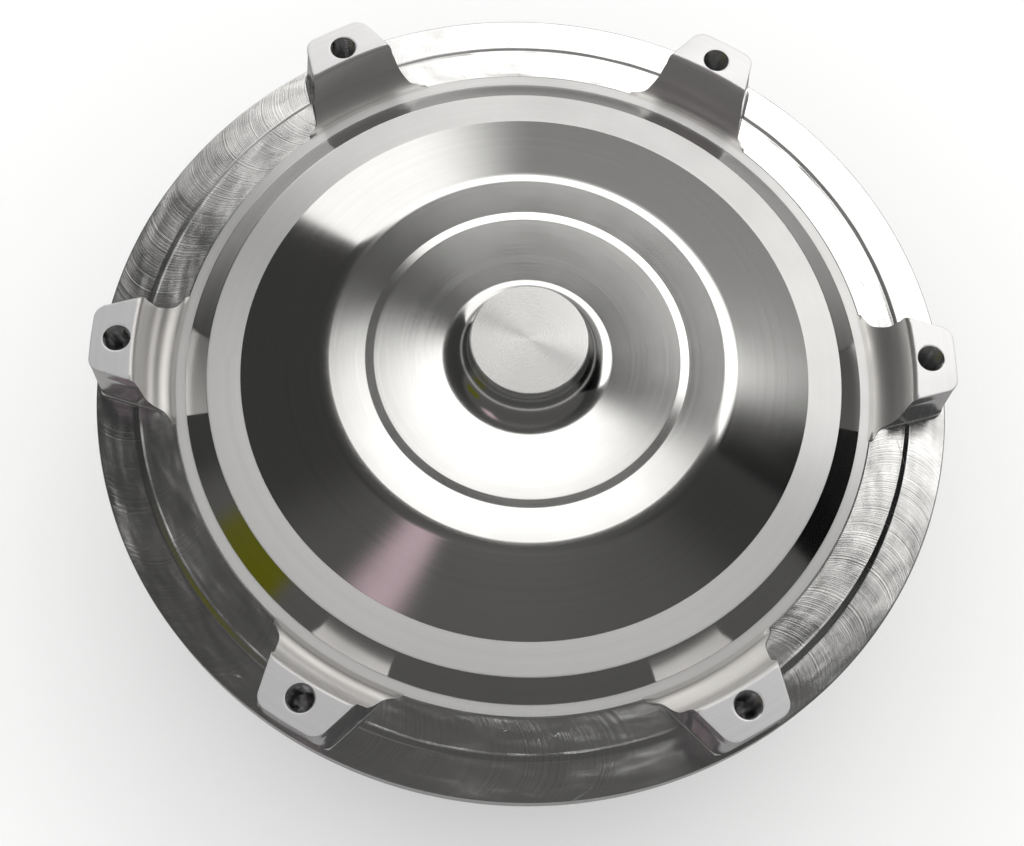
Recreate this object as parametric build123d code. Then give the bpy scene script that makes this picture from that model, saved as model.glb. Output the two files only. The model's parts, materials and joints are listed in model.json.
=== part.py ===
from build123d import *
import os
from math import cos, pi, radians, sin, sqrt, tan

# Lock-up torque converter with a billet front cover. All sizes are in millimetres.
# The converter stands on its pump hub with the crank side up: the origin is the centre of the hub end,
# +Z runs along the shaft axis towards the crank pilot.
# Most pieces are turned about Z, so they are drawn as (radius, height) sections and revolved.

# ---------------------------------------------------------------- driving dimensions
PAD_Z = 168.0  # flexplate pads above the hub end
LUG_COUNT = 6
LUG_PCD = 292.1  # flexplate bolt circle, 11.5 in
PILOT_R = 21.2
PILOT_TOP = 7.7  # pilot end above the pads
RIM_R = 156.5
SKIRT_R = 152.5
SKIRT_END = -60.0  # lower end of the cover skirt, from the pads
SHELL_R = 147.2  # outside of the impeller shell, inside of the cover skirt

TORUS_R = 104.5  # radius of the centre of the fluid circuit
IMPELLER_Z = 81.0  # plane at which the impeller blades end
TURBINE_Z = 83.0  # plane at which the turbine blades begin
IMPELLER_WALL = 4.2
TURBINE_WALL = 2.2
IMPELLER_RHO = SHELL_R - TORUS_R - IMPELLER_WALL  # inside section radius of the impeller
TURBINE_RHO = 35.0
CORE_RHO = 15.7
CORE_WALL = 1.4
BLADE_T = 1.2
IMPELLER_BLADES = 31
TURBINE_BLADES = 29

HUB_R = 23.8  # journal that runs in the pump bushing
HUB_BORE_R = 19.05
HUB_SEAT_R = 25.0  # shoulder welded into the impeller shell
HUB_SEAT_Z = 55.0
SHELL_FLAT_Z = 64.0  # inside face of the impeller shell around the hub, and the hub's inner end
PUMP_SLOT_W = 9.6
PUMP_SLOT_D = 9.5

NOSE_R = 32.0  # turbine hub nose on which the lock-up piston slides
TURBINE_HUB_Z = 96.0
TURBINE_FLAT_Z = 101.0
NOSE_TOP_Z = 146.0
INPUT_SPLINE = (13.6, 14.6, 30)  # tooth tip radius, tooth root radius, teeth
STATOR_SPLINE = (16.6, 17.6, 36)

RUNNING = 0.05  # radial clearance of a running or sliding fit

SPRING_COUNT = 8
SPRING_MID_R = 116.0
SPRING_Z = 125.2
SPRING_R = 6.0
SPRING_WIRE_R = 1.4
SPRING_HALF = 30.0
DRIVE_PLATE_Z = 131.5
DRIVE_PLATE_T = 2.0
PISTON_Z = 134.3  # back face of the piston's friction zone
PISTON_T = 4.0
TANG_COUNT = 6

STATOR_Z0 = 70.0  # clutch races, lower and upper face
STATOR_Z1 = 90.0
RACE_R = 34.0
CAM_R = 50.0
ROLLER_R = 4.5
ROLLER_COUNT = 10
STATOR_BLADES = 19


# ---------------------------------------------------------------- helpers
def section(*corners):
    """Closed face in the XZ plane. A corner is (r, z), or (r, z, radius) where it is rounded."""
    points = [Vector(c[0], 0, c[1]) for c in corners]
    stations = []
    for i, corner in enumerate(corners):
        here = points[i]
        if len(corner) == 2:
            stations.append((here, None, here))
            continue
        back = (points[i - 1] - here).normalized()
        ahead = (points[(i + 1) % len(points)] - here).normalized()
        half = radians(back.get_angle(ahead)) / 2
        reach = corner[2] / tan(half)
        middle = here + (back + ahead).normalized() * (corner[2] / sin(half) - corner[2])
        stations.append((here + back * reach, middle, here + ahead * reach))
    edges = []
    for i, (start, middle, end) in enumerate(stations):
        if middle is not None:
            edges.append(ThreePointArc(start, middle, end))
        edges.append(Line(end, stations[(i + 1) % len(stations)][0]))
    return make_face(edges)


def outline(start, *moves):
    """Closed face in the XZ plane. A move is an end point, or (middle, end) for an arc."""
    edges = []
    here = Vector(start[0], 0, start[1])
    for move in (*moves, start):
        if isinstance(move[0], tuple):
            middle = Vector(move[0][0], 0, move[0][1])
            end = Vector(move[1][0], 0, move[1][1])
            edges.append(ThreePointArc(here, middle, end))
        else:
            end = Vector(move[0], 0, move[1])
            if (end - here).length > 1e-6:
                edges.append(Line(here, end))
        here = end
    return make_face(edges)


def turned(face):
    return revolve(face, Axis.Z, 360)


def ring(r_in, r_out, z0, z1):
    return turned(section((r_in, z0), (r_out, z0), (r_out, z1), (r_in, z1)))


def around(count, shape, first=0.0):
    """Copies of a shape about the Z axis."""
    return [Rot(Z=first + 360 / count * i) * shape for i in range(count)]


def upright(radius, z0, z1, x=0.0, y=0.0):
    return Pos(x, y, z0) * Cylinder(radius, z1 - z0, align=(Align.CENTER, Align.CENTER, Align.MIN))


def block(x0, x1, y0, y1, z0, z1):
    return Pos(x0, y0, z0) * Box(x1 - x0, y1 - y0, z1 - z0, align=(Align.MIN, Align.MIN, Align.MIN))


def prism(points, z0, z1):
    """Straight prism over a plan outline."""
    return Pos(0, 0, z0) * extrude(make_face(Polyline(*points, close=True)), z1 - z0)


def spline_bore(tip_r, root_r, teeth, z0, z1):
    """The space inside an internal spline."""
    points = []
    for i in range(teeth):
        for share, radius in ((0.02, tip_r), (0.42, tip_r), (0.58, root_r), (0.86, root_r)):
            turn = 2 * pi * (i + share) / teeth
            points.append((radius * cos(turn), radius * sin(turn)))
    return prism(points, z0, z1)


def lowest_radius(rho, dz):
    """Inner radius of the fluid circuit's circle at a height dz from its centre."""
    return TORUS_R - sqrt(rho**2 - dz**2)


def solids_of(shapes):
    return [solid for shape in shapes for solid in shape.solids()]


def save(name, shape):
    pieces = solids_of(shape) if isinstance(shape, list) else shape.solids()
    export_step(pieces[0] if len(pieces) == 1 else Compound(pieces), f"parts/{name}.step")


# ---------------------------------------------------------------- front cover
def cover_disc():
    """The turned blank: crank pilot, dished face, cone, flat ring, slope, milled lug circle, rim and skirt."""
    relative = (
        (0, PILOT_TOP), (PILOT_R - 0.4, PILOT_TOP), (PILOT_R, PILOT_TOP - 0.4), (PILOT_R, -7.0, 9.0),
        (55.5, -4.9), (58.6, -4.9), (73.9, -3.7, 13.0), (104.0, -12.5), (116.0, -12.5, 1.0), (124.4, -17.6, 1.0),
        (128.3, -17.6), (128.9, -18.2), (141.5, -18.2), (142.1, -19.1), (RIM_R - 0.4, -19.1), (RIM_R, -19.5),
        (RIM_R, -26.7), (RIM_R - 0.4, -27.1), (SKIRT_R, -27.1), (SKIRT_R, SKIRT_END), (SHELL_R, SKIRT_END),
        (SHELL_R, -27.0, 2.5), (104.0, -27.0), (76.0, -18.0), (18.5, -18.0), (18.5, -20.5), (0, -20.5),
    )
    return turned(section(*[(c[0], PAD_Z + c[1], *c[2:]) for c in relative]))


LUG_SLOPE = 0.285  # how fast a lug narrows outwards, per side
LUG_HALF = 14.4  # half its width at the bolt circle
LUG_DRAFT = 6.0
LUG_TOP_IN = 139.3
LUG_TOP_OUT = 155.2


def cover_lug():
    """One flexplate lug on +X: a swept inner face, drafted sides, a flat pad."""
    body = section(
        (128.0, -21.0), (128.0, -17.6), (136.6, -17.6, 8.0), (LUG_TOP_IN, 0), (LUG_TOP_OUT, 0), (LUG_TOP_OUT, -21.0)
    )
    swept = Pos(0, 0, PAD_Z) * revolve(Rot(Z=-15) * body, Axis.Z, 30)
    near, far = 122.0, LUG_TOP_OUT
    half_near = LUG_HALF - LUG_SLOPE * (near - LUG_PCD / 2)
    half_far = LUG_HALF - LUG_SLOPE * (far - LUG_PCD / 2)
    plan = make_face(Polyline((near, -half_near), (far, -half_far), (far, half_far), (near, half_near), close=True))
    corners = plan.vertices().sort_by(Axis.X)[-2:]
    plan = fillet(corners, 5.5)
    walls = Pos(0, 0, PAD_Z) * extrude(plan, -22.0, taper=-LUG_DRAFT)
    return swept & walls


def tapped_hole():
    """Tapping-size hole with a chamfered mouth and a drill point, for an M10 bolt."""
    drill_r, mouth_r, depth = 4.25, 5.0, 17.0
    profile = section(
        (0, 0.5), (mouth_r + 0.5, 0.5), (mouth_r, 0), (drill_r, drill_r - mouth_r), (drill_r, -depth), (0, -depth - 2.4)
    )
    return Pos(LUG_PCD / 2, 0, PAD_Z) * turned(profile)


def front_cover():
    cover = cover_disc()
    for lug in around(LUG_COUNT, cover_lug()):
        cover += lug
    for hole in around(LUG_COUNT, tapped_hole()):
        cover -= hole
    return cover


# ---------------------------------------------------------------- impeller
def impeller_shell():
    z = IMPELLER_Z
    rho_out = IMPELLER_RHO + IMPELLER_WALL
    flat_out = SHELL_FLAT_Z - IMPELLER_WALL
    return turned(outline(
        (SHELL_R - IMPELLER_WALL, 116.0), (SHELL_R, 116.0), (SHELL_R, z),
        ((TORUS_R, z - rho_out), (lowest_radius(rho_out, z - flat_out), flat_out)),
        (HUB_SEAT_R, flat_out), (HUB_SEAT_R, SHELL_FLAT_Z),
        (lowest_radius(IMPELLER_RHO, z - SHELL_FLAT_Z), SHELL_FLAT_Z),
        ((TORUS_R, z - IMPELLER_RHO), (SHELL_R - IMPELLER_WALL, z)),
    ))


def closure_weld():
    """Fillet weld between the end of the cover skirt and the impeller shell."""
    z = PAD_Z + SKIRT_END
    return turned(outline(
        (SHELL_R, z), (SHELL_R, z - 6.0), ((SHELL_R + 3.3, z - 3.0), (SHELL_R + 4.8, z)),
    ))


def impeller_hub():
    """Ground tube with two slots for the pump gear's tangs."""
    hub = turned(section(
        (HUB_BORE_R + 0.8, 0), (HUB_R - 0.8, 0), (HUB_R, 0.8), (HUB_R, HUB_SEAT_Z),
        (HUB_SEAT_R, HUB_SEAT_Z + HUB_SEAT_R - HUB_R), (HUB_SEAT_R, SHELL_FLAT_Z), (HUB_BORE_R, SHELL_FLAT_Z),
        (HUB_BORE_R, 0.8),
    ))
    half = PUMP_SLOT_W / 2
    return hub - block(-HUB_R - 1, HUB_R + 1, -half, half, -1, PUMP_SLOT_D)


def hub_weld():
    z = SHELL_FLAT_Z - IMPELLER_WALL
    r = HUB_SEAT_R
    return turned(outline((r, z), (r, z - 3.2), ((r + 2.4, z - 2.0), (r + 4.6, z))))


def blade(region, turn):
    """A flat plate across the fluid circuit, turned about its own middle, cut to a revolved region."""
    sector = revolve(Rot(Z=-16) * region, Axis.Z, 32)
    plate = Pos(TORUS_R, 0, 0) * Rot(Z=turn) * block(-60, 60, -BLADE_T / 2, BLADE_T / 2, 20, 140)
    return sector & plate


def impeller_blades():
    z = IMPELLER_Z
    inner_end = z - 14.5
    region = outline(
        (TORUS_R + CORE_RHO, z), (TORUS_R + IMPELLER_RHO, z),
        ((TORUS_R, z - IMPELLER_RHO), (lowest_radius(IMPELLER_RHO, z - SHELL_FLAT_Z), SHELL_FLAT_Z)),
        (lowest_radius(IMPELLER_RHO, z - SHELL_FLAT_Z), inner_end), (lowest_radius(CORE_RHO, 14.5), inner_end),
        ((TORUS_R, z - CORE_RHO), (TORUS_R + CORE_RHO, z)),
    )
    return around(IMPELLER_BLADES, blade(region, 10))


def core_ring(z, side):
    """Half of the hollow core of the fluid circuit: side is -1 in the impeller, 1 in the turbine."""
    inner = CORE_RHO - CORE_WALL
    end = 13.6
    return turned(outline(
        (TORUS_R + inner, z), (TORUS_R + CORE_RHO, z),
        ((TORUS_R, z + side * CORE_RHO), (lowest_radius(CORE_RHO, end), z + side * end)),
        (lowest_radius(inner, end), z + side * end),
        ((TORUS_R, z + side * inner), (TORUS_R + inner, z)),
    ))


def balance_weight():
    """Small curved plate welded to the outside of the impeller."""
    face = section((SHELL_R, 82.0), (SHELL_R + 3.0, 82.6), (SHELL_R + 3.0, 94.4), (SHELL_R, 95.0))
    return Rot(Z=126) * revolve(face, Axis.Z, 12)


# ---------------------------------------------------------------- turbine
RIVET_R = 3.0
RIVET_RING = 53.0
RIVET_COUNT = 12


def rivet_holes():
    return around(RIVET_COUNT, upright(RIVET_R, 90, 110, RIVET_RING))


def turbine_shell():
    z = TURBINE_Z
    rho_out = TURBINE_RHO + TURBINE_WALL
    flat_top = TURBINE_FLAT_Z + TURBINE_WALL
    shell = turned(outline(
        (TORUS_R + TURBINE_RHO, z), (TORUS_R + rho_out, z),
        ((TORUS_R, z + rho_out), (lowest_radius(rho_out, flat_top - z), flat_top)),
        (46.0, flat_top), (46.0, TURBINE_FLAT_Z),
        (lowest_radius(TURBINE_RHO, TURBINE_FLAT_Z - z), TURBINE_FLAT_Z),
        ((TORUS_R, z + TURBINE_RHO), (TORUS_R + TURBINE_RHO, z)),
    ))
    for hole in rivet_holes():
        shell -= hole
    return shell


def turbine_blades():
    z = TURBINE_Z
    inner_end = z + 13.6
    region = outline(
        (TORUS_R + CORE_RHO, z), (TORUS_R + TURBINE_RHO, z),
        ((TORUS_R, z + TURBINE_RHO), (lowest_radius(TURBINE_RHO, TURBINE_FLAT_Z - z), TURBINE_FLAT_Z)),
        (lowest_radius(TURBINE_RHO, TURBINE_FLAT_Z - z), inner_end), (lowest_radius(CORE_RHO, 13.6), inner_end),
        ((TORUS_R, z + CORE_RHO), (TORUS_R + CORE_RHO, z)),
    )
    return around(TURBINE_BLADES, blade(region, -14))


def turbine_hub():
    """Splined hub: a flange for the turbine shell and a nose for the piston, with a seal groove."""
    hub = turned(section(
        (0, TURBINE_HUB_Z), (60.0, TURBINE_HUB_Z), (60.0, TURBINE_FLAT_Z), (46.0, TURBINE_FLAT_Z),
        (46.0, 104.0), (NOSE_R, 110.0), (NOSE_R, 138.0), (NOSE_R - 1.8, 138.0), (NOSE_R - 1.8, 140.2),
        (NOSE_R, 140.2), (NOSE_R, NOSE_TOP_Z - 0.8), (NOSE_R - 0.8, NOSE_TOP_Z), (0, NOSE_TOP_Z),
    ))
    hub -= spline_bore(*INPUT_SPLINE, TURBINE_HUB_Z - 1, NOSE_TOP_Z + 1)
    for hole in rivet_holes():
        hub -= hole
    return hub


def turbine_rivets():
    top = TURBINE_FLAT_Z + TURBINE_WALL
    shape = section((0, TURBINE_HUB_Z), (RIVET_R, TURBINE_HUB_Z), (RIVET_R, top), (4.8, top), (4.0, top + 2.2, 1.4), (0, top + 2.2))
    return around(RIVET_COUNT, Pos(RIVET_RING, 0, 0) * turned(shape))


def piston_seal():
    return ring(NOSE_R - 1.7, NOSE_R, 138.1, 140.1)


def spring_stop(inner_x, outer_x, z0, z1):
    """Block that fills the gap between two neighbouring damper springs."""
    pitch = 360 / SPRING_COUNT
    side = SPRING_HALF + 0.1
    near = [Vector(inner_x, side, 0), Vector(outer_x, side, 0)]
    mirrored = [Vector(v.X, -v.Y, 0).rotate(Axis.Z, pitch) for v in reversed(near)]
    return prism([(v.X, v.Y) for v in near + mirrored], z0, z1)


def damper_driven_ring():
    """Ring on the turbine's crest with a finger between each pair of springs."""
    z = TURBINE_Z + TURBINE_RHO + TURBINE_WALL
    driven = ring(92.0, 109.5, z, z + 2.0)
    for finger in around(SPRING_COUNT, spring_stop(104.0, 121.0, z, SPRING_Z + 0.2)):
        driven += finger
    return driven


# ---------------------------------------------------------------- damper and lock-up piston
def tang_box(clearance, r_in, r_out, z0, z1):
    half = 6.0 + clearance
    return block(r_in - clearance, r_out, -half, half, z0, z1)


DAMPER_RIVET_RING = 130.2
DAMPER_RIVET_R = 1.8


def damper_rivet_holes():
    hole = upright(DAMPER_RIVET_R, 125, 140, DAMPER_RIVET_RING)
    return around(SPRING_COUNT, hole, 22.5)


def tang_notches():
    return around(TANG_COUNT, tang_box(0.3, 130.8, 140.0, 120, 140))


def damper_drive_plate():
    """Plate that turns on the turbine hub nose and pushes the springs with its stops."""
    top = DRIVE_PLATE_Z + DRIVE_PLATE_T
    plate = ring(NOSE_R + RUNNING, 134.0, DRIVE_PLATE_Z, top)
    for window in around(SPRING_COUNT, upright(15.0, 120, 140, 72.0)):
        plate -= window
    for stop in around(SPRING_COUNT, spring_stop(111.5, 121.0, SPRING_Z + 0.8, DRIVE_PLATE_Z)):
        plate += stop
    for cut in tang_notches() + damper_rivet_holes():
        plate -= cut
    return plate


def spring_retainer():
    """Band that holds the springs in against their own centrifugal force."""
    band = turned(section(
        (126.0, 121.0), (127.4, 121.0), (127.4, DRIVE_PLATE_Z - 1.6), (133.0, DRIVE_PLATE_Z - 1.6),
        (133.0, DRIVE_PLATE_Z), (126.0, DRIVE_PLATE_Z),
    ))
    for cut in tang_notches() + damper_rivet_holes():
        band -= cut
    return band


def damper_rivets():
    low = DRIVE_PLATE_Z - 1.6
    shape = section(
        (0, low - 1.2), (2.4, low - 1.2), (2.4, low), (DAMPER_RIVET_R, low),
        (DAMPER_RIVET_R, DRIVE_PLATE_Z + DRIVE_PLATE_T), (0, DRIVE_PLATE_Z + DRIVE_PLATE_T),
    )
    return around(SPRING_COUNT, Pos(DAMPER_RIVET_RING, 0, 0) * turned(shape), 22.5)


def damper_springs():
    """Straight coil springs laid tangentially between the stops."""
    turns = 7
    coil_r = SPRING_R - SPRING_WIRE_R
    travel = 2 * (SPRING_HALF - SPRING_WIRE_R)
    path = Helix(pitch=travel / turns, height=travel, radius=coil_r)
    wire = Plane(origin=path @ 0, z_dir=path % 0) * Circle(SPRING_WIRE_R)
    coil = sweep(wire, path=path, is_frenet=True)
    laid = Pos(SPRING_MID_R, 0, SPRING_Z) * Rot(X=90) * Pos(0, 0, -travel / 2) * coil
    return around(SPRING_COUNT, laid)


def lockup_piston():
    top = PISTON_Z + PISTON_T
    piston = turned(section(
        (NOSE_R + RUNNING, PISTON_Z - 0.2), (37.0, PISTON_Z - 0.2), (37.0, 139.4), (86.0, 139.4),
        (108.0, PISTON_Z), (140.0, PISTON_Z), (140.0, top), (111.0, top), (87.0, 143.4), (NOSE_R + RUNNING, 143.4),
    ))
    for tang in around(TANG_COUNT, tang_box(0, 131.0, 133.8, 129.0, PISTON_Z)):
        piston += tang
    return piston


def friction_lining():
    top = PISTON_Z + PISTON_T
    return ring(116.0, 138.0, top, top + 1.5)


# ---------------------------------------------------------------- stator and one-way clutch
def stator_blade():
    """Cast aerofoil standing on the stator hub, with a blunt nose towards the turbine."""
    chord = Spline(
        (0.0, 89.5), (3.6, 86.0), (4.6, 80.0), (2.6, 73.0), (-1.0, 70.2)
    )
    back = Spline((-1.0, 70.2), (-0.2, 75.0), (-0.4, 80.5), (-2.2, 86.0), (0.0, 89.5))
    face = make_face([chord, back])
    placed = Plane(origin=(63.0, 0, 0), x_dir=(0, 1, 0), z_dir=(1, 0, 0)) * face
    return extrude(placed, 29.5)


def stator_wheel():
    hub = turned(section(
        (48.5, 66.5), (63.0, 66.5), (64.5, 68.0), (64.5, 92.5), (63.0, 94.0), (CAM_R, 94.0), (CAM_R, 93.3),
        (CAM_R + 1.5, 93.3), (CAM_R + 1.5, 92.0), (CAM_R, 92.0), (CAM_R, 68.0), (48.5, 68.0),
    ))
    wheel = hub + ring(92.0, 94.5, 69.5, 90.5)
    for vane in around(STATOR_BLADES, stator_blade()):
        wheel += vane
    return wheel


def polar(radius, turn):
    return radius * cos(radians(turn)), radius * sin(radians(turn))


ROLLER_RING = RACE_R + RUNNING + ROLLER_R


def clutch_outer_race():
    """Cam ring: a tapering pocket for each roller, wide at the spring end."""
    wedge = Pos(*polar(ROLLER_RING, 0.4)) * Circle(ROLLER_R + 0.12)
    wide = Pos(*polar(ROLLER_RING, -11.0)) * Circle(ROLLER_R + 0.7)
    pocket = Pos(0, 0, STATOR_Z0 - 1) * extrude(make_hull(wedge.edges() + wide.edges()), STATOR_Z1 - STATOR_Z0 + 2)
    cam = ring(RACE_R + 2.0, CAM_R, STATOR_Z0, STATOR_Z1)
    for cut in around(ROLLER_COUNT, pocket):
        cam -= cut
    return cam


def clutch_rollers():
    roller = upright(ROLLER_R, STATOR_Z0 + 2.0, STATOR_Z1 - 2.0, ROLLER_RING)
    return around(ROLLER_COUNT, roller)


def roller_springs():
    """Folded leaf springs that push the rollers up their ramps."""
    folds = [polar(ROLLER_RING + (2.6 if i % 2 else -1.9), -8.4 - 1.5 * i) for i in range(6)]
    strip = trace(Polyline(*folds), 0.35)
    return around(ROLLER_COUNT, Pos(0, 0, STATOR_Z0 + 4) * extrude(strip, STATOR_Z1 - STATOR_Z0 - 8))


def stator_inner_race():
    race = turned(section(
        (0, STATOR_Z0), (RACE_R - 0.8, STATOR_Z0), (RACE_R, STATOR_Z0 + 0.8),
        (RACE_R, STATOR_Z1 - 0.8), (RACE_R - 0.8, STATOR_Z1), (0, STATOR_Z1),
    ))
    return race - spline_bore(*STATOR_SPLINE, STATOR_Z0 - 1, STATOR_Z1 + 1)


def stator_snap_ring():
    return ring(CAM_R - 2.4, CAM_R + 1.4, 92.05, 93.25) - block(CAM_R - 5, CAM_R + 5, -8, 8, 90, 96)


# ---------------------------------------------------------------- needle thrust bearings
NEEDLE_R = 1.15
NEEDLE_COUNT = 24
BEARING_T = 4.0
RACE_T = 0.8


def bearing_race(r_in, r_out, z0):
    return ring(r_in, r_out, z0, z0 + RACE_T)


def needle(r_in, r_out, z, radius):
    return Pos(r_in, 0, z) * Rot(Y=90) * Cylinder(radius, r_out - r_in, align=(Align.CENTER, Align.CENTER, Align.MIN))


def bearing_cage(r_in, r_out, z0):
    middle = z0 + BEARING_T / 2
    cage = ring(r_in + 0.3, r_out - 0.3, middle - 0.8, middle + 0.8)
    gap = NEEDLE_R + 0.1
    slot = block(r_in + 1.4, r_out - 1.4, -gap, gap, middle - 2, middle + 2)
    for cut in around(NEEDLE_COUNT, slot):
        cage -= cut
    return cage


def bearing_needles(r_in, r_out, z0):
    return around(NEEDLE_COUNT, needle(r_in + 1.5, r_out - 1.5, z0 + BEARING_T / 2, NEEDLE_R))


# name: (inner radius, outer radius, lower face, lower race's name, upper race's name)
BEARINGS = {
    "front": (20.0, 31.0, NOSE_TOP_Z, "turbine", "cover"),
    "middle": (26.0, 40.0, TURBINE_HUB_Z - BEARING_T, "stator", "turbine"),
    "rear": (26.0, 40.0, SHELL_FLAT_Z, "impeller", "stator"),
}


# ---------------------------------------------------------------- write the nodes
os.makedirs("parts", exist_ok=True)

save("front_cover", front_cover())
save("closure_weld", closure_weld())
save("impeller_shell", impeller_shell())
save("impeller_blades", impeller_blades())
save("impeller_core_ring", core_ring(IMPELLER_Z, -1))
save("impeller_hub", impeller_hub())
save("hub_weld", hub_weld())
save("balance_weight", balance_weight())

save("turbine_shell", turbine_shell())
save("turbine_blades", turbine_blades())
save("turbine_core_ring", core_ring(TURBINE_Z, 1))
save("turbine_hub", turbine_hub())
save("turbine_rivets", turbine_rivets())
save("piston_seal", piston_seal())
save("damper_driven_ring", damper_driven_ring())

save("damper_drive_plate", damper_drive_plate())
save("spring_retainer", spring_retainer())
save("damper_rivets", damper_rivets())
save("damper_springs", damper_springs())
save("lockup_piston", lockup_piston())
save("friction_lining", friction_lining())

save("stator_wheel", stator_wheel())
save("clutch_outer_race", clutch_outer_race())
save("clutch_rollers", clutch_rollers())
save("roller_springs", roller_springs())
save("stator_inner_race", stator_inner_race())
save("stator_front_cap", ring(22.0, CAM_R, STATOR_Z1 + 0.3, 92.0))
save("stator_rear_cap", ring(22.0, CAM_R, 68.0, STATOR_Z0 - 0.3))
save("stator_snap_ring", stator_snap_ring())

for name, (r_in, r_out, z0, lower, upper) in BEARINGS.items():
    save(f"{name}_bearing_{lower}_race", bearing_race(r_in, r_out, z0))
    save(f"{name}_bearing_{upper}_race", bearing_race(r_in, r_out, z0 + BEARING_T - RACE_T))
    save(f"{name}_bearing_cage", bearing_cage(r_in, r_out, z0))
    save(f"{name}_bearing_needles", bearing_needles(r_in, r_out, z0))
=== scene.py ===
import json
import math

import bmesh
import bpy
from mathutils import Matrix, Vector


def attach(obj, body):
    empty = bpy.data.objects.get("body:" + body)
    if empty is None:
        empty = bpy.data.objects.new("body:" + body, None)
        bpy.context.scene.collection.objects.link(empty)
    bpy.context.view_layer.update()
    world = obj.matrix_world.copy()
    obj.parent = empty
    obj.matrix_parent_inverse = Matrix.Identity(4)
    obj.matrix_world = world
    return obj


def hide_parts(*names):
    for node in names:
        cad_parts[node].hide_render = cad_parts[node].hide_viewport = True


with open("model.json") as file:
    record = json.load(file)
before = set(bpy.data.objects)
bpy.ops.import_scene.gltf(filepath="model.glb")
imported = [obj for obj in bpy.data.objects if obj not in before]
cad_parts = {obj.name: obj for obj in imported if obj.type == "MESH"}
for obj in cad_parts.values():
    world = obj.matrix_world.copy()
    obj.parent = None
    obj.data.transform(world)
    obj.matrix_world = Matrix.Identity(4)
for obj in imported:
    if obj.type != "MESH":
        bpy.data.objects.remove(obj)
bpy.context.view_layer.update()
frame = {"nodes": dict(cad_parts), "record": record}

# Lock-up torque converter, crank side up, on its pump hub.
# Sizes are in millimetres until they become vertices or reach a shader, which take metres.
MM = 0.001
PAD_Z = 168.0  # flexplate pads above the hub end; the cover's heights below are measured from them
LUG_COUNT = 6
BOLT_R = 146.05
PILOT_R = 21.2
PILOT_TOP = 7.7
PILOT_FOOT = -7.0
STEP_IN = 55.5  # narrow flat step between the dish and the crest
STEP_OUT = 58.6
STEP_Z = -4.9
CREST_R = 73.9
CREST_Z = -3.7
RING_IN = 104.0  # flat ring below the cone
RING_OUT = 116.0
RING_Z = -12.5
LAND_IN = 124.4
LAND_Z = -17.6
POCKET_EDGE = 128.3  # outside of the land, where the milled pockets begin
POCKET_Z = -18.2
FLANGE_Z = -19.1
FLANGE_BACK = -27.1
TRACK_Z = -26.95  # friction track, 0.05 above the CAD's so that the lining clears it at full travel
INNER_Z = -18.0
RECESS_R = 18.5  # pocket behind the pilot
RECESS_Z = -20.5
RIM_R = 156.5
SKIRT_R = 152.5
SKIRT_END = -60.0
SHELL_R = 147.2
SHELL_TOP = 116.0
TORUS_R = 104.5
HUB_SEAT_R = 25.0
IMPELLER_Z = 81.0
SHELL_FLAT_Z = 64.0
SHELL_WALL = 4.2


# ---------------------------------------------------------------- turned shapes
def between(start, end, sweep, share):
    """A vector part of the way round the arc from start to end."""
    return (start * math.sin((1 - share) * sweep) + end * math.sin(share * sweep)) / math.sin(sweep)


def rounded(corners):
    """Points of a section whose corners are (r, z) or (r, z, radius).

    Extra points next to each corner keep the flats flat under smooth shading.
    """
    n = len(corners)
    stations = []
    for i, corner in enumerate(corners):
        here = Vector(corner[:2])
        if len(corner) == 2 or corner[2] == 0:
            stations.append([here])
            continue
        back = (Vector(corners[i - 1][:2]) - here).normalized()
        ahead = (Vector(corners[(i + 1) % n][:2]) - here).normalized()
        half = back.angle(ahead) / 2
        reach = corner[2] / math.tan(half)
        centre = here + (back + ahead).normalized() * (corner[2] / math.sin(half))
        start, end = here + back * reach - centre, here + ahead * reach - centre
        sweep = start.angle(end)
        steps = max(3, min(14, round(sweep * 8)))
        arc = []
        for k in range(steps + 1):
            arc.append(centre + between(start, end, sweep, k / steps))
        stations.append(arc)
    points = []
    for i, arc in enumerate(stations):
        points += arc
        here, after = arc[-1], stations[(i + 1) % n][0]
        gap = (after - here).length
        if gap > 1.0:
            keep = min(0.3, gap / 4)
            points.append(here.lerp(after, keep / gap))
            if gap > 12:
                points += [here.lerp(after, k / 4) for k in (1, 2, 3)]
            points.append(here.lerp(after, 1 - keep / gap))
    return points


def lathe(bm, points, segments, wobble=None):
    """Revolves a closed section about Z. Points on the axis become poles.

    wobble(r, z, turn) moves a point of the section at that turn.
    """
    rings = []
    for r, z in points:
        if r < 1e-6:
            rings.append([bm.verts.new((0, 0, z * MM))])
            continue
        ring = []
        for k in range(segments):
            turn = 2 * math.pi * k / segments
            rr, zz = wobble(r, z, turn) if wobble else (r, z)
            ring.append(bm.verts.new((rr * MM * math.cos(turn), rr * MM * math.sin(turn), zz * MM)))
        rings.append(ring)
    for i, lower in enumerate(rings):
        upper = rings[(i + 1) % len(rings)]
        if len(lower) == 1 and len(upper) == 1:
            continue
        for k in range(segments):
            after = (k + 1) % segments
            corners = [lower[k % len(lower)], lower[after % len(lower)]]
            corners += [upper[after % len(upper)], upper[k % len(upper)]]
            bm.faces.new(list(dict.fromkeys(corners)))


SHARP_EDGE = 0.6  # radians; edges that bend more than this are shaded sharp


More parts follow.
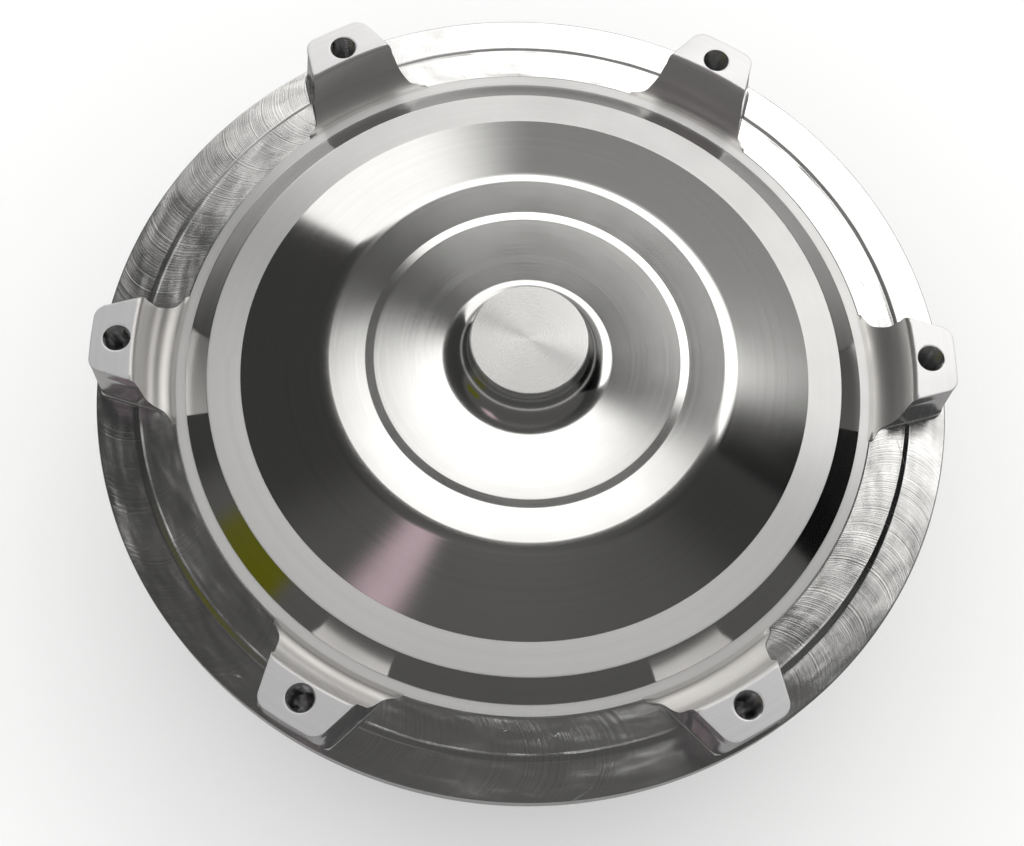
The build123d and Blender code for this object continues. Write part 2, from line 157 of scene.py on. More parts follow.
def finish_mesh(name, bm, material, recalc=True):
    if recalc:
        bmesh.ops.recalc_face_normals(bm, faces=bm.faces)
    for edge in bm.edges:
        edge.smooth = len(edge.link_faces) == 2 and edge.calc_face_angle() < SHARP_EDGE
    mesh = bpy.data.meshes.new(name)
    bm.to_mesh(mesh)
    bm.free()
    for polygon in mesh.polygons:
        polygon.use_smooth = True
    mesh.materials.append(material)
    piece = bpy.data.objects.new(name, mesh)
    bpy.context.scene.collection.objects.link(piece)
    return piece


def arc_points(centre_z, rho, start, end, steps):
    """Points of a section arc about the middle of the fluid circuit, angles in degrees."""
    turns = [math.radians(start + (end - start) * k / steps) for k in range(steps + 1)]
    return [Vector((TORUS_R + rho * math.cos(t), centre_z + rho * math.sin(t))) for t in turns]


# ---------------------------------------------------------------- shader helpers
class Nodes:
    """Short names for building a node tree."""

    def __init__(self, material):
        self.tree = material.node_tree
        self.nodes = self.tree.nodes
        self.links = self.tree.links

    def add(self, kind, **inputs):
        node = self.nodes.new(kind)
        for key, value in inputs.items():
            name = key.replace("_", " ")
            if name in node.inputs:
                self.feed(node.inputs[name], value)
            else:
                setattr(node, key, value)
        return node

    def feed(self, socket, value):
        if isinstance(value, bpy.types.NodeSocket):
            self.links.new(value, socket)
        else:
            socket.default_value = value

    def math(self, operation, a, b=0.0, c=None):
        node = self.nodes.new("ShaderNodeMath")
        node.operation = operation
        for i, value in enumerate((a, b, c)):
            if value is not None:
                self.feed(node.inputs[i], value)
        return node.outputs[0]

    def ramp(self, fac, stops):
        node = self.nodes.new("ShaderNodeValToRGB")
        self.feed(node.inputs[0], fac)
        while len(node.color_ramp.elements) < len(stops):
            node.color_ramp.elements.new(0.5)
        for element, (place, colour) in zip(node.color_ramp.elements, stops):
            element.position = place
            value = colour if isinstance(colour, tuple) else (colour, colour, colour)
            element.color = (*value, 1)
        return node.outputs[0]

    def span(self, value, low, high, to_low=0.0, to_high=1.0):
        node = self.nodes.new("ShaderNodeMapRange")
        node.interpolation_type = "SMOOTHSTEP"
        for i, v in enumerate((value, low, high, to_low, to_high)):
            self.feed(node.inputs[i], v)
        return node.outputs[0]

    def noise(self, vector, scale, detail=2.0, roughness=0.5):
        node = self.add("ShaderNodeTexNoise", Scale=scale, Detail=detail, Roughness=roughness)
        self.links.new(vector, node.inputs["Vector"])
        return node.outputs[0]

    def mix(self, fac, a, b):
        node = self.nodes.new("ShaderNodeMix")
        node.data_type = "RGBA"
        self.feed(node.inputs[0], fac)
        for socket, value in ((node.inputs[6], a), (node.inputs[7], b)):
            self.feed(socket, value if isinstance(value, bpy.types.NodeSocket) else (*value, 1))
        return node.outputs[2]

    def polar(self):
        """Object position, distance from the Z axis and turn about it."""
        place = self.nodes.new("ShaderNodeTexCoord").outputs["Object"]
        axes = self.add("ShaderNodeSeparateXYZ", Vector=place)
        x, y, z = axes.outputs
        squares = self.math("ADD", self.math("MULTIPLY", x, x), self.math("MULTIPLY", y, y))
        radius = self.math("SQRT", squares)
        turn = self.math("ARCTAN2", y, x)
        return place, radius, turn, z

    def vector(self, x=0.0, y=0.0, z=0.0):
        return self.add("ShaderNodeCombineXYZ", X=x, Y=y, Z=z).outputs[0]

    def bump(self, height, strength, distance, normal=None):
        node = self.add("ShaderNodeBump", Height=height, Strength=strength, Distance=distance)
        if normal is not None:
            self.links.new(normal, node.inputs["Normal"])
        return node.outputs[0]


def shade(colour, factor):
    """A colour made darker or lighter, with no channel above 1."""
    return tuple(min(1.0, c * factor) for c in colour)


def new_material(name, base, metallic=1.0):
    material = bpy.data.materials.new(name)
    material.use_nodes = True
    tree = Nodes(material)
    shader = tree.nodes["Principled BSDF"]
    shader.inputs["Base Color"].default_value = (*base, 1)
    shader.inputs["Metallic"].default_value = metallic
    return material, tree, shader


ZONE_EDGE = 0.0002  # width in metres over which one finish gives way to the next


def turned_steel(name, base, rough, spread, line=0.9, smudge=0.05, bump=0.12, zones=(), metallic=1.0):
    """Lathe-turned metal: grooves round the axis throw highlights out along the radius.

    A zone is (inner radius, outer radius, added roughness, how much less metallic) and has a satin finish.
    """
    material, t, shader = new_material(name, base, metallic)
    place, radius, turn, z = t.polar()
    run = t.math("ADD", radius, z)
    fine_at = t.vector(t.math("MULTIPLY", run, 3200.0), 0.0, t.math("MULTIPLY", turn, 0.14))
    coarse_at = t.vector(t.math("MULTIPLY", run, 620.0), 4.0, t.math("MULTIPLY", turn, 0.08))
    fine = t.noise(fine_at, 1.0, 3.0, 0.6)
    coarse = t.noise(coarse_at, 1.0, 2.0, 0.5)
    cloud = t.noise(place, 26.0, 4.0, 0.6)
    lines = t.math("ADD", t.math("MULTIPLY", fine, 0.55), t.math("MULTIPLY", coarse, 0.45))
    tone = t.ramp(lines, ((0.25, shade(base, 1 - 0.22 * line)), (0.75, shade(base, 1 + 0.16 * line))))
    patch = t.span(cloud, 0.35, 0.7)
    stained = t.mix(t.math("MULTIPLY", patch, 0.25), tone, shade(base, 0.86))
    t.feed(shader.inputs["Base Color"], stained)
    grit = t.math("MULTIPLY_ADD", t.math("SUBTRACT", lines, 0.5), 0.16 * line, rough)
    for inner, outer, more, satin in zones:
        past_inner = t.span(radius, inner - ZONE_EDGE, inner)
        inside_outer = t.span(radius, outer + ZONE_EDGE, outer)
        band = t.math("MULTIPLY", past_inner, inside_outer)
        grit = t.math("MULTIPLY_ADD", band, more, grit)
        metallic = t.math("MULTIPLY_ADD", band, -satin, metallic)
    t.feed(shader.inputs["Metallic"], metallic)
    t.feed(shader.inputs["Roughness"], t.math("MULTIPLY_ADD", patch, smudge, grit))
    shader.inputs["Anisotropic"].default_value = spread
    shader.inputs["Anisotropic Rotation"].default_value = 0.25
    tangent = t.nodes.new("ShaderNodeTangent")
    tangent.direction_type = "RADIAL"
    tangent.axis = "Z"
    t.feed(shader.inputs["Tangent"], tangent.outputs[0])
    t.feed(shader.inputs["Normal"], t.bump(lines, bump, 0.00012))
    return material


CUTTER_R = 0.013  # end mill, in metres, with the circle that its centre ran along
CUTTER_PATH_R = 0.1415
POCKET_MID_R = 0.1435


def milled_steel(name, base, rough, swirl=0.3, waves=0.0008):
    """End-milled metal: overlapping arcs left by the cutter, with handling scratches and oil."""
    material, t, shader = new_material(name, base)
    place, radius, turn, z = t.polar()
    off = t.math("SUBTRACT", radius, CUTTER_PATH_R)
    chord = t.math("SUBTRACT", CUTTER_R * CUTTER_R * 2, t.math("MULTIPLY", off, off))
    reach = t.math("SQRT", t.math("MAXIMUM", chord, 0.0))
    along = t.math("SUBTRACT", t.math("MULTIPLY", turn, POCKET_MID_R), reach)
    cusps_at = t.vector(t.math("MULTIPLY", along, 1500.0), 0.0, t.math("MULTIPLY", z, 40.0))
    cusps = t.noise(cusps_at, 1.0, 3.0, 0.7)
    cloud = t.noise(place, 34.0, 4.0, 0.65)
    slanted = t.math("MULTIPLY_ADD", turn, 30.0, t.math("MULTIPLY", radius, 420.0))
    scratch_at = t.vector(slanted, t.math("MULTIPLY", turn, 3.0))
    scratch = t.span(t.noise(scratch_at, 1.0, 5.0, 0.7), 0.66, 0.74)
    patch = t.span(cloud, 0.38, 0.66)
    tone = t.ramp(cusps, ((0.3, shade(base, 0.84)), (0.7, shade(base, 1.12))))
    oily = t.mix(t.math("MULTIPLY", patch, 0.35), tone, shade(base, 0.8))
    t.feed(shader.inputs["Base Color"], oily)
    grit = t.math("MULTIPLY_ADD", t.math("SUBTRACT", cusps, 0.5), 0.12, rough)
    worn = t.math("MULTIPLY_ADD", scratch, 0.16, grit)
    t.feed(shader.inputs["Roughness"], t.math("MULTIPLY_ADD", patch, 0.07, worn))
    height = t.math("MULTIPLY_ADD", scratch, 0.4, cusps)
    outwards, around = t.math("MULTIPLY", radius, 95.0), t.math("MULTIPLY", turn, 4.2)
    passes = t.noise(t.vector(outwards, around, t.math("MULTIPLY", z, 60.0)), 1.0, 2.0, 0.45)
    wavy = t.bump(passes, 1.0, waves)
    t.feed(shader.inputs["Normal"], t.bump(height, swirl, 0.00015, wavy))
    return material


# ---------------------------------------------------------------- materials
TURNED = turned_steel(
    "turned_steel", (0.80, 0.80, 0.805), 0.115, 0.9, line=0.35, smudge=0.02, bump=0.03,
    zones=(
        (0.0, (PILOT_R - 0.3) * MM, 0.15, 0.1),
        (RING_IN * MM, RING_OUT * MM, 0.2, 0.22),
        (LAND_IN * MM, POCKET_EDGE * MM, 0.2, 0.22),
    ),
)
MILLED = milled_steel("milled_steel", (0.76, 0.76, 0.77), 0.19, swirl=0.32)
PADS = turned_steel("pad_steel", (0.8, 0.795, 0.81), 0.34, 0.3, line=0.3, bump=0.04, metallic=0.62)
SWEPT = turned_steel("swept_steel", (0.7, 0.69, 0.68), 0.36, 0.6, line=0.5, bump=0.05, metallic=0.9)
GROUND = turned_steel("ground_steel", (0.62, 0.62, 0.63), 0.22, 0.7, line=0.7)


def mottled(name, base, tint, rough, metallic=1.0, grain=900.0, bump=0.15, ring=0.0):
    """Pressed, cast or moulded surface: cloudy colour, fine grain and, where ring is set, drawing lines."""
    material, t, shader = new_material(name, base, metallic)
    place, radius, turn, z = t.polar()
    fine = t.noise(place, grain, 3.0, 0.6)
    broad = t.noise(place, 40.0, 4.0, 0.6)
    patch = t.span(broad, 0.35, 0.68)
    tone = t.mix(patch, base, tint)
    speck = t.span(fine, 0.56, 0.7)
    specked = t.mix(t.math("MULTIPLY", speck, 0.35), tone, shade(base, 0.6))
    t.feed(shader.inputs["Base Color"], specked)
    worn = t.math("MULTIPLY_ADD", patch, 0.12, rough)
    t.feed(shader.inputs["Roughness"], t.math("MULTIPLY_ADD", fine, 0.1, worn))
    run = t.math("SUBTRACT", radius, z)
    drawn_at = t.vector(t.math("MULTIPLY", run, 1500.0), 0.0, t.math("MULTIPLY", turn, 0.4))
    drawn = t.math("MULTIPLY", t.noise(drawn_at, 1.0, 2.0, 0.5), ring)
    t.feed(shader.inputs["Normal"], t.bump(t.math("ADD", fine, drawn), bump, 0.00008))
    return material


def weld_metal():
    """Laid bead: straw and blue heat tint in bands, spatter specks, slightly rough."""
    material, t, shader = new_material("weld_metal", (0.42, 0.4, 0.37))
    place, _, turn, z = t.polar()
    band = t.noise(t.vector(t.math("MULTIPLY", turn, 14.0), t.math("MULTIPLY", z, 300.0)), 1.0, 4.0, 0.6)
    blue, bare, straw, burnt = (0.33, 0.34, 0.38), (0.5, 0.48, 0.45), (0.5, 0.42, 0.3), (0.3, 0.27, 0.26)
    tint = t.ramp(band, ((0.3, blue), (0.48, bare), (0.62, straw), (0.8, burnt)))
    t.feed(shader.inputs["Base Color"], tint)
    fine = t.noise(place, 1600.0, 3.0, 0.6)
    t.feed(shader.inputs["Roughness"], t.span(fine, 0.3, 0.7, 0.28, 0.45))
    t.feed(shader.inputs["Normal"], t.bump(fine, 0.25, 0.00006))
    return material


def friction_paper():
    """Fibrous wet-friction paper, matte brown with darker fibres."""
    dark, brown, pale = (0.09, 0.055, 0.03), (0.2, 0.13, 0.08), (0.31, 0.22, 0.15)
    material, t, shader = new_material("friction_paper", brown, 0.0)
    place = t.nodes.new("ShaderNodeTexCoord").outputs["Object"]
    fibre_at = t.add("ShaderNodeMapping", Vector=place, Scale=(2600, 700, 1500)).outputs[0]
    fibre = t.noise(fibre_at, 1.0, 5.0, 0.7)
    t.feed(shader.inputs["Base Color"], t.ramp(fibre, ((0.3, dark), (0.55, brown), (0.75, pale))))
    t.feed(shader.inputs["Roughness"], t.span(fibre, 0.3, 0.7, 0.95, 0.8))
    t.feed(shader.inputs["Normal"], t.bump(fibre, 0.5, 0.00012))
    return material


FINISHES = {
    "turned_steel": TURNED,
    "ground_steel": GROUND,
    "brazed_steel": mottled("brazed_steel", (0.36, 0.355, 0.35), (0.27, 0.262, 0.262), 0.33, ring=0.8),
    "weld_metal": weld_metal(),
    "pressed_steel": mottled("pressed_steel", (0.44, 0.44, 0.45), (0.36, 0.36, 0.37), 0.3, ring=0.6),
    "rivet_steel": mottled("rivet_steel", (0.52, 0.52, 0.53), (0.44, 0.44, 0.45), 0.34, grain=2400.0),
    "spring_steel": mottled("spring_steel", (0.2, 0.2, 0.215), (0.13, 0.13, 0.15), 0.3, grain=3000.0),
    "friction_paper": friction_paper(),
    "seal_polymer": mottled("seal_polymer", (0.05, 0.045, 0.04), (0.07, 0.06, 0.05), 0.4, 0.0, 2000.0),
    "cast_aluminium": mottled("cast_aluminium", (0.7, 0.7, 0.71), (0.6, 0.6, 0.6), 0.42, 1.0, 1500.0, 0.5),
    "cap_steel": mottled("cap_steel", (0.56, 0.56, 0.57), (0.48, 0.48, 0.49), 0.32, grain=1800.0),
    "bearing_steel": turned_steel("bearing_steel", (0.7, 0.7, 0.71), 0.12, 0.5, line=0.3),
    "cage_steel": mottled("cage_steel", (0.5, 0.47, 0.42), (0.42, 0.4, 0.36), 0.3, grain=1800.0),
}


# ---------------------------------------------------------------- front cover
def up(corners):
    return [(c[0], PAD_Z + c[1], *c[2:]) for c in corners]


def cover_section():
    return rounded(up((
        (0, PILOT_TOP), (PILOT_R - 0.4, PILOT_TOP, 0.15), (PILOT_R, PILOT_TOP - 0.4, 0.15),
        (PILOT_R, PILOT_FOOT, 9.0), (STEP_IN, STEP_Z, 0.2), (STEP_OUT, STEP_Z, 0.2),
        (CREST_R, CREST_Z, 13.0), (RING_IN, RING_Z, 0.4), (RING_OUT, RING_Z, 1.0), (LAND_IN, LAND_Z, 0.8),
        (POCKET_EDGE, LAND_Z, 0.15), (POCKET_EDGE + 0.6, POCKET_Z, 0.3),
        (140.4, POCKET_Z, 1.5), (141.3, POCKET_Z + 0.08, 0.3), (143.2, FLANGE_Z, 2.0),
        (RIM_R, FLANGE_Z, 0.5), (RIM_R, FLANGE_BACK, 0.4), (SKIRT_R, FLANGE_BACK, 0.8),
        (SKIRT_R, SKIRT_END, 0.4), (SHELL_R, SKIRT_END, 0.2), (SHELL_R, TRACK_Z, 2.5),
        (RING_IN, TRACK_Z, 1.0), (76.0, INNER_Z, 1.0), (RECESS_R, INNER_Z, 0.5), (RECESS_R, RECESS_Z, 0.4),
        (0, RECESS_Z),
    )))


LUG_HALF = 14.4
LUG_SLOPE = 0.285
LUG_TOP_IN = 139.3
LUG_TOP_OUT = 155.2
LUG_ROOT = 127.4
LUG_FOOT = 136.6  # where the swept inner face starts to rise
POCKET_CORNER = 3.5
FLOOR = -19.3
MOUTH_R = 5.05
TAP_R = 4.25
THREAD_PITCH = 1.5
THREAD_HEIGHT = 0.62
HOLE_DEPTH = 15.6
DRILL_POINT = 3.0


def lug_half(x, z):
    """Half the width of a lug at a distance x along it and a height z."""
    depth = max(0.0, -z)
    draft = 0.03 * min(depth, 5.0) + 0.13 * max(0.0, min(depth, 17.0) - 5.0) + 0.12 * (depth > 5.05)
    cove = 0.0
    if depth > 17.4:
        low = min(depth - 17.4, 1.0)
        cove = 1.0 - math.sqrt(1.0 - low * low)
    flare = 0.0
    past = POCKET_EDGE + POCKET_CORNER - x
    if past > 0:
        flare = POCKET_CORNER - math.sqrt(max(0.0, POCKET_CORNER**2 - min(past, POCKET_CORNER) ** 2))
    return LUG_HALF - LUG_SLOPE * (x - BOLT_R) + draft + cove + flare


def lug_outline(r_in, z_in, z_side, inset):
    """One loop round a lug: inner arc, side, rounded outer corner, outer arc and back, as (x, y, z)."""
    r_out = LUG_TOP_OUT - inset
    x_in = r_in
    for _ in range(3):
        w = lug_half(x_in, z_side) - inset
        x_in = math.sqrt(max(r_in**2 - w**2, 1.0))
    a_in = math.atan2(w, x_in)
    inner = [(r_in * math.cos(a), r_in * math.sin(a), z_in) for a in [a_in * k / 8 for k in range(9)]]
    corner_x = r_out
    for _ in range(3):
        w_out = lug_half(corner_x, z_side) - inset
        corner_x = math.sqrt(r_out**2 - w_out**2)
    corner = Vector((corner_x, w_out))
    back = Vector((-1.0, LUG_SLOPE)).normalized()
    ahead = Vector((math.sin(w_out / r_out), -math.cos(w_out / r_out)))
    radius = 5.3 - inset
    half_angle = back.angle(ahead) / 2
    reach = radius / math.tan(half_angle)
    centre = corner + (back + ahead).normalized() * radius / math.sin(half_angle)
    start, end = corner + back * reach - centre, corner + ahead * reach - centre
    sweep = start.angle(end)
    x_last = corner_x + back.x * reach
    side = []
    for k in range(1, 14):
        share = (k / 14) ** 1.35
        x = inner[-1][0] + (x_last - inner[-1][0]) * share
        side.append((x, lug_half(x, z_side) - inset, z_side))
    round_off = []
    for k in range(9):
        share = k / 8
        corner_point = centre + between(start, end, sweep, share)
        round_off.append((corner_point.x, corner_point.y, z_side))
    last = math.atan2(round_off[-1][1], round_off[-1][0])
    outer_turns = [last * k / 5 for k in range(4, -1, -1)]
    outer = [(r_out * math.cos(a), r_out * math.sin(a), z_side) for a in outer_turns]
    one_side = inner + side + round_off + outer
    blend = len(inner) + 2
    for k in range(len(inner), blend):
        x, y, z = one_side[k]
        share = (k - len(inner) + 1) / (blend - len(inner) + 1)
        one_side[k] = (x, y, z_in + (z_side - z_in) * share)
    mirrored = [(x, -y, z) for x, y, z in reversed(one_side[1:-1])]
    return one_side + mirrored


def lug_stations():
    """Loops from below the pocket floor up the swept inner face, over the pad's edges and on to the pad."""
    loops = [(LUG_ROOT, FLOOR - 1.0, FLOOR - 1.0, 0.0), (LUG_ROOT, -18.6, -18.6, 0.0)]
    loops += [(LUG_ROOT, LAND_Z - 0.02, -18.3, 0.0), (127.9, LAND_Z + 0.01, -18.0, 0.0)]
    loops += [(128.2, LAND_Z + 0.01, -17.8, 0.0)]
    fillet_r = 8.0
    foot = Vector((LUG_FOOT, LAND_Z))
    rise = (Vector((LUG_TOP_IN, 0.0)) - foot).normalized()
    reach = fillet_r / math.tan((math.pi - rise.angle(Vector((1.0, 0.0)))) / 2)
    tangent = foot.x - reach
    centre = Vector((tangent, foot.y + fillet_r))
    sweep = rise.angle(Vector((1.0, 0.0)))
    loops += [(tangent - 0.6, foot.y + 0.01, foot.y, 0.0), (tangent - 0.05, foot.y + 0.01, foot.y, 0.0)]
    for k in range(13):
        turn = sweep * k / 12
        z = centre.y - fillet_r * math.cos(turn)
        loops.append((centre.x + fillet_r * math.sin(turn), z, z, 0.0))
    edge_in, edge_side = 2.0, 0.3
    wall_top = -edge_in * 0.95
    for z in (-9.0, -7.0, -5.4, -5.0, -4.6, -3.4, wall_top - 0.3, wall_top):
        loops.append((LUG_TOP_IN + z * rise.x / rise.y, z, z, 0.0))
    start_r = LUG_TOP_IN + wall_top * rise.x / rise.y
    for k in range(1, 9):
        turn = math.pi / 2 * k / 8
        r = start_r + edge_in * (1 - math.cos(turn))
        z_in = wall_top * (1 - math.sin(turn))
        side_turn = max(0.0, (k - 3) / 5) * math.pi / 2
        if k > 3:
            z_side = -edge_side * (1 - math.sin(side_turn))
        else:
            z_side = wall_top - (wall_top + edge_side) * k / 3
        loops.append((r, z_in, min(0.0, z_side), edge_side * (1 - math.cos(side_turn))))
    return loops


def lug(bm, turn):
    rotate = Matrix.Rotation(turn, 3, "Z")

    def place(x, y, z):
        return bm.verts.new(rotate @ Vector((x, y, z + PAD_Z)) * MM)

    def bridge(lower, upper):
        for k in range(len(lower)):
            after = (k + 1) % len(lower)
            bm.faces.new((lower[k], lower[after], upper[after], upper[k]))

    outlines = [lug_outline(*station) for station in lug_stations()]
    loops = [[place(*point) for point in outline] for outline in outlines]
    for lower, upper in zip(loops, loops[1:]):
        bridge(lower, upper)
    bm.faces.new(list(reversed(loops[0])))
    top = outlines[-1]
    turns = [math.atan2(y, x - BOLT_R) for x, y, _ in top]

    def hole_loop(radius_at, z):
        return [place(BOLT_R + radius_at(a) * math.cos(a), radius_at(a) * math.sin(a), z) for a in turns]

    for share in (0.06, 0.5, 0.93):
        ring = []
        for (x, y, _), a in zip(top, turns):
            hx, hy = BOLT_R + MOUTH_R * math.cos(a), MOUTH_R * math.sin(a)
            ring.append(place(x + (hx - x) * share, y + (hy - y) * share, 0.0))
        bridge(loops[-1], ring)
        loops.append(ring)
    for radius, z in ((MOUTH_R, 0.0), (MOUTH_R - 0.1, -0.05), (TAP_R + 0.25, -0.5)):
        ring = hole_loop(lambda a, radius=radius: radius, z)
        bridge(loops[-1], ring)
        loops.append(ring)
    step = 0.25
    levels = int((HOLE_DEPTH - 0.5) / step)
    for k in range(1, levels + 1):
        z = -0.5 - step * k

        def thread(a, z=z):
            phase = (z / THREAD_PITCH - a / (2 * math.pi)) % 1.0
            tooth = abs(phase * 2 - 1)
            return TAP_R + THREAD_HEIGHT * min(1.0, max(0.0, tooth * 1.5 - 0.25))

        ring = hole_loop(thread, z)
        bridge(loops[-1], ring)
        loops.append(ring)
    tip = place(BOLT_R, 0, -HOLE_DEPTH - DRILL_POINT)
    last = loops[-1]
    for k in range(len(last)):
        bm.faces.new((last[k], last[(k + 1) % len(last)], tip))


def front_cover():
    bm = bmesh.new()
    lathe(bm, cover_section(), 720)
    bmesh.ops.recalc_face_normals(bm, faces=bm.faces)
    piece = finish_mesh("front_cover_disc", bm, TURNED)
    piece.data.materials.append(MILLED)
    for polygon in piece.data.polygons:
        x, y, z = polygon.center / MM
        if math.hypot(x, y) > POCKET_EDGE and z > PAD_Z - 24:
            polygon.material_index = 1
    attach(piece, "housing")
    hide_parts("front_cover")
    bm = bmesh.new()
    for k in range(LUG_COUNT):
        lug(bm, 2 * math.pi * k / LUG_COUNT)
    lugs = finish_mesh("front_cover_lugs", bm, MILLED)
    lugs.data.materials.append(PADS)
    lugs.data.materials.append(SWEPT)
    for polygon in lugs.data.polygons:
        x, y, z = polygon.center / MM
        spin = (math.degrees(math.atan2(y, x)) + 30) % 60 - 30
        if z > PAD_Z - 0.04:
            polygon.material_index = 1
            continue
        faces_in = polygon.normal.x * x + polygon.normal.y * y < 0.3
        on_swept_face = math.hypot(x, y) < LUG_TOP_IN + 2.6
        if polygon.normal.z > 0.05 and faces_in and on_swept_face and abs(spin) < 12:
            polygon.material_index = 2
    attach(lugs, "housing")
    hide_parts("front_cover")


front_cover()


# ---------------------------------------------------------------- impeller side
def impeller():
    """Pressed shell, ending in a square edge at the hub weld, with a flat outer run into the cover skirt."""
    rho = SHELL_R - TORUS_R
    flat_out = SHELL_FLAT_Z - SHELL_WALL
    end_out = -180 + math.degrees(math.asin((IMPELLER_Z - flat_out) / rho))
    end_in = -180 + math.degrees(math.asin((IMPELLER_Z - SHELL_FLAT_Z) / (rho - SHELL_WALL)))
    points = [Vector((SHELL_R - SHELL_WALL, SHELL_TOP)), Vector((SHELL_R, SHELL_TOP))]
    points += arc_points(IMPELLER_Z, rho, 0, end_out, 56)
    points += [Vector((r, flat_out)) for r in (58.0, 44.0, 31.0, HUB_SEAT_R)]
    points += [Vector((r, SHELL_FLAT_Z)) for r in (HUB_SEAT_R, 40.0, 56.0)]
    points += arc_points(IMPELLER_Z, rho - SHELL_WALL, end_in, 0, 56)
    bm = bmesh.new()
    lathe(bm, points, 360)
    shell = finish_mesh("impeller_shell_body", bm, FINISHES["brazed_steel"])
    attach(shell, "housing")
    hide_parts("impeller_shell")


RIPPLE = 0.16  # height of the weld puddle's ripples


def weld_bead(name, inner, top, drop, bulge, ripples, node):
    """A fillet bead between a wall at the inner radius and a face above it, with the puddle's ripples."""
    def ripple(r, z, turn):
        phase = (turn * ripples / (2 * math.pi)) % 1.0
        out = min(1.0, max(0.0, r - inner) / 1.2) * min(1.0, max(0.0, top - z) / 0.8)
        puddle = RIPPLE * math.sqrt(abs(math.sin(math.pi * phase)))
        drift = 0.10 * math.sin(turn * 23.0) * math.sin(turn * 7.0 + 1.0)
        lift = (puddle + drift - RIPPLE) * out
        return r + lift, z - lift * 0.6

    section = [Vector((inner, top)), Vector((inner, top - drop))]
    for k in range(1, 12):
        share = k / 12
        r = inner + bulge * share
        z = top - drop * (1 - share)
        bow = math.sin(math.pi * share) * 0.14 * (bulge + drop)
        section.append(Vector((r + bow * 0.7, z - bow * 0.7)))
    section.append(Vector((inner + bulge, top)))
    bm = bmesh.new()
    lathe(bm, section, 1440 if inner > 60 else 720, ripple)
    bead = finish_mesh(name, bm, FINISHES["weld_metal"])
    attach(bead, "housing")
    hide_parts(node)


impeller()
weld_bead("closure_weld_bead", SHELL_R, PAD_Z + SKIRT_END, 6.0, 4.8, 380, "closure_weld")
weld_bead("hub_weld_bead", HUB_SEAT_R, SHELL_FLAT_Z - SHELL_WALL, 3.2, 4.6, 96, "hub_weld")

node_slots = {part["node"]: part["material_slot"] for part in frame["record"]["subparts"]}
for name, node in frame["nodes"].items():
    node.data.materials.clear()
    node.data.materials.append(FINISHES[node_slots[name]])


# ---------------------------------------------------------------- studio
def floor():
    bm = bmesh.new()
    bmesh.ops.create_circle(bm, cap_ends=True, radius=30.0, segments=96)
    material, t, shader = new_material("floor_paper", (0.93, 0.93, 0.93), 0.0)
    place = t.nodes.new("ShaderNodeTexCoord").outputs["Object"]
    t.feed(shader.inputs["Roughness"], t.span(t.noise(place, 8.0), 0.3, 0.7, 0.75, 0.85))
    # Painted reflection: glossy rays see the floor painted dark grey, so the metal mirrors a darker floor
    # than the camera and diffuse light see, which get the pale floor.
    mirrored = t.nodes.new("ShaderNodeLightPath").outputs["Is Glossy Ray"]
    t.feed(shader.inputs["Base Color"], t.mix(mirrored, (0.95, 0.95, 0.95), (0.36, 0.355, 0.35)))
    piece = finish_mesh("floor", bm, material, recalc=False)


STUDIO_SWING = math.radians(6.12)  # the camera and the softbox stand this far round from -Y


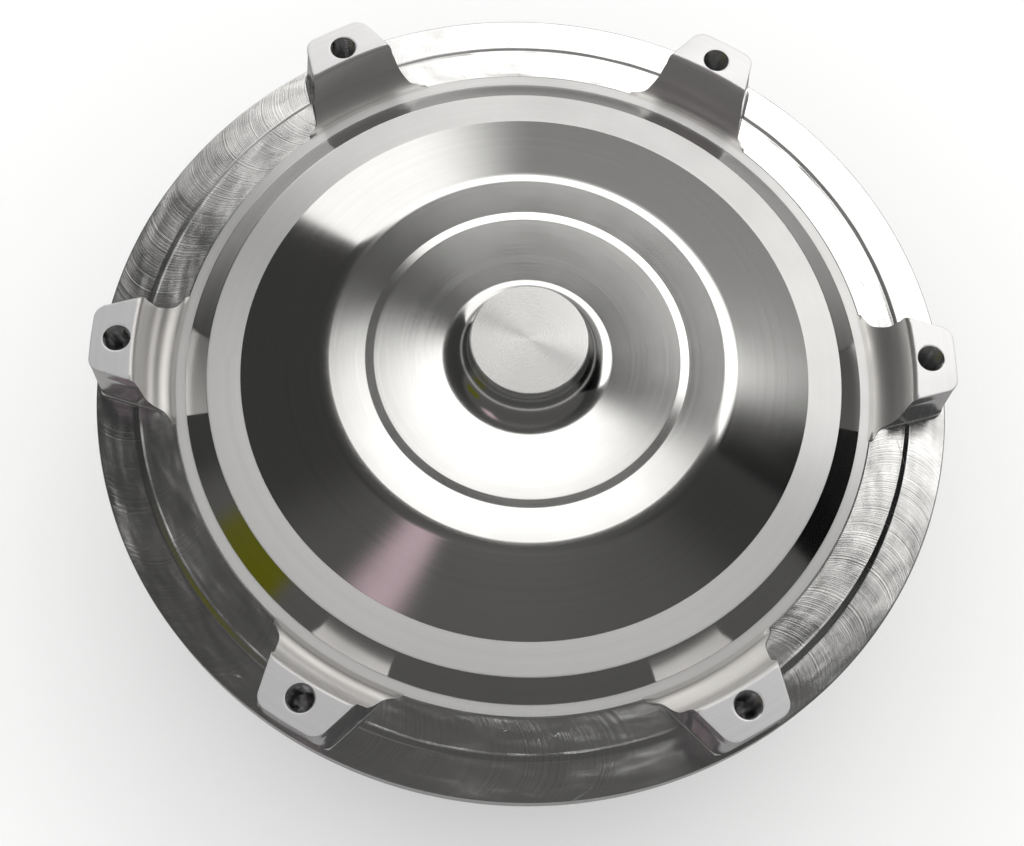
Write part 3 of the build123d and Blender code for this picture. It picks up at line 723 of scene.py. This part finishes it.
def studio_world():
    """A white room for the camera and for soft light.

    The metal mirrors a softbox, a bright wall, a dark ceiling and two tinted cards instead.
    """
    world = bpy.data.worlds.new("studio")
    world.use_nodes = True
    bpy.context.scene.world = world
    t = Nodes(world)
    t.nodes.clear()
    way = t.nodes.new("ShaderNodeTexCoord").outputs["Generated"]
    rotate = t.add("ShaderNodeVectorRotate", rotation_type="Z_AXIS", Vector=way, Angle=STUDIO_SWING)
    x, y, z = t.add("ShaderNodeSeparateXYZ", Vector=rotate.outputs[0]).outputs
    high = t.math("MAXIMUM", z, 0.03)
    across, along = t.math("DIVIDE", x, high), t.math("DIVIDE", y, high)
    rise = t.math("DEGREES", t.math("ARCSINE", z))
    turn = t.math("DEGREES", t.math("ARCTAN2", y, x))

    def beyond(ax, ay, edge, soft):
        """1 beyond a straight edge in the ceiling plane, 0 before it."""
        place = t.math("ADD", t.math("MULTIPLY", across, ax), t.math("MULTIPLY", along, ay))
        return t.span(place, edge - soft, edge + soft)

    def times(*factors):
        product = factors[0]
        for factor in factors[1:]:
            product = t.math("MULTIPLY", product, factor)
        return product

    def card(*edges):
        """1 inside a card whose edges are (value, start, full, fading, end) in degrees, with soft borders."""
        inside = 1.0
        for value, start, full, fading, end in edges:
            inside = times(inside, t.span(value, start, full), t.span(value, end, fading))
        return inside

    def less(share):
        return t.math("SUBTRACT", 1.0, share)

    box = times(beyond(0.309, 0.951, 0.452, 0.010), beyond(0.636, 0.772, 0.345, 0.012))
    grey_wall = t.span(rise, 38.0, 49.0, 0.26, 2.2)
    left_wall = t.span(turn, 93.0, 110.0)
    wall = t.math("ADD", times(grey_wall, less(left_wall)), times(left_wall, 1.3))
    right_edge = t.span(turn, 26.0, 42.0)
    low = t.span(rise, 6.0, 22.0)
    bright = times(box, wall, right_edge, low)
    pink_card = card((turn, -152.0, -146.0, -136.0, -128.0), (rise, 55.0, 62.0, 72.0, 78.0))
    olive_card = card((turn, -170.0, -163.0, -149.0, -144.0), (rise, 20.0, 25.0, 34.0, 46.0))
    near_side = t.span(y, 0.0, -0.15, 0.0, 0.05)
    dark = t.math("ADD", t.span(rise, 62.0, 90.0, 0.04, 0.1), near_side)
    horizon = t.span(rise, 11.0, 2.0, 0.0, 0.4)
    unlit = t.math("ADD", times(dark, less(box), less(olive_card)), horizon)
    strength = t.math("ADD", bright, unlit)
    room = t.mix(pink_card, (0.0, 0.0, 0.0), (0.50, 0.36, 0.40))
    room = t.mix(olive_card, room, (0.10, 0.10, 0.0))
    green, blue = times(strength, 0.985), times(strength, 0.95)
    grey = t.add("ShaderNodeCombineColor", Red=strength, Green=green, Blue=blue).outputs[0]
    add = t.nodes.new("ShaderNodeMix")
    add.data_type, add.blend_type = "RGBA", "ADD"
    add.inputs[0].default_value = 1.0
    t.feed(add.inputs[6], grey)
    t.feed(add.inputs[7], room)
    paths = t.nodes.new("ShaderNodeLightPath")
    seen = t.math("MAXIMUM", paths.outputs["Is Camera Ray"], paths.outputs["Is Diffuse Ray"])
    colour = t.mix(seen, add.outputs[2], (1.12, 1.12, 1.12))
    emit = t.add("ShaderNodeBackground", Color=colour, Strength=1.0)
    out = t.nodes.new("ShaderNodeOutputWorld")
    t.links.new(emit.outputs[0], out.inputs[0])


def camera():
    """A camera at 68 degrees above the pads, rolled a little, on the -Y side."""
    elevation, roll, swing = math.radians(68.06), math.radians(7.02), STUDIO_SWING
    distance = 0.50275
    target = Vector((0.0001, -0.02887, PAD_Z * MM))
    level = math.cos(elevation)
    back = Vector((-math.sin(swing) * level, -math.cos(swing) * level, math.sin(elevation)))
    right = (-back).cross(Vector((0, 0, 1))).normalized()
    upward = right.cross(-back)
    x_axis = right * math.cos(roll) + upward * math.sin(roll)
    y_axis = -right * math.sin(roll) + upward * math.cos(roll)
    data = bpy.data.cameras.new("camera")
    data.lens = 50.39
    data.sensor_width = 36.0
    data.shift_x = -0.0158
    data.clip_start = 0.01
    holder = bpy.data.objects.new("camera", data)
    bpy.context.scene.collection.objects.link(holder)
    holder.matrix_world = Matrix.Translation(target + back * distance) @ Matrix(
        ((x_axis.x, y_axis.x, back.x), (x_axis.y, y_axis.y, back.y), (x_axis.z, y_axis.z, back.z))
    ).to_4x4()
    bpy.context.scene.camera = holder


floor()
studio_world()
camera()
bpy.context.scene.view_settings.view_transform = "Standard"
